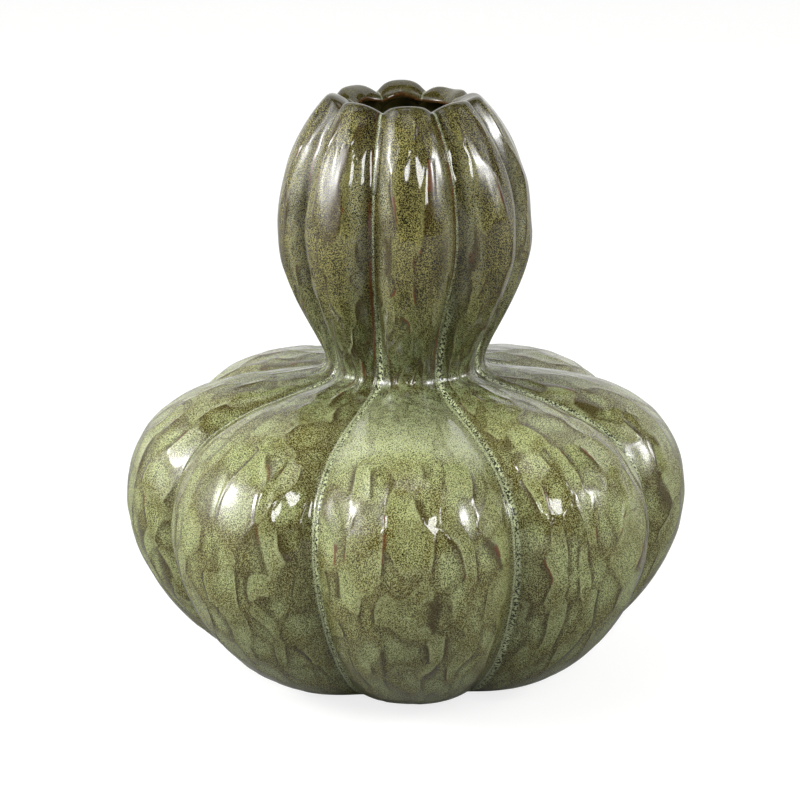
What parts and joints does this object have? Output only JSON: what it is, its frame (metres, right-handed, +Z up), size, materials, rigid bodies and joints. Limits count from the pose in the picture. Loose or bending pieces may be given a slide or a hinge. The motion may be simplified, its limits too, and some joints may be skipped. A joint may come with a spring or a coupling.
{
  "type": "pumpkin vase",
  "caption": "Lobed stoneware vase: a squat pumpkin belly, a pinched waist and an upright pod that rolls in to a scalloped mouth, hollow from the mouth to the floor.",
  "frame": {"origin": "middle of the underside, on the surface that the felt pads stand on", "axes": "+Z up along the vase's axis, from the foot to the mouth; -Y towards the lobe that faces the viewer in the picture"},
  "size_m": [0.2538, 0.2538, 0.265],
  "materials": {
    "glazed_stoneware": "gloss",
    "felt": "matte"
  },
  "bodies": {
    "root": {"vase_body": "glazed_stoneware", "felt_pad_1": "felt", "felt_pad_2": "felt", "felt_pad_3": "felt", "felt_pad_4": "felt"}
  },
  "joints": []
}
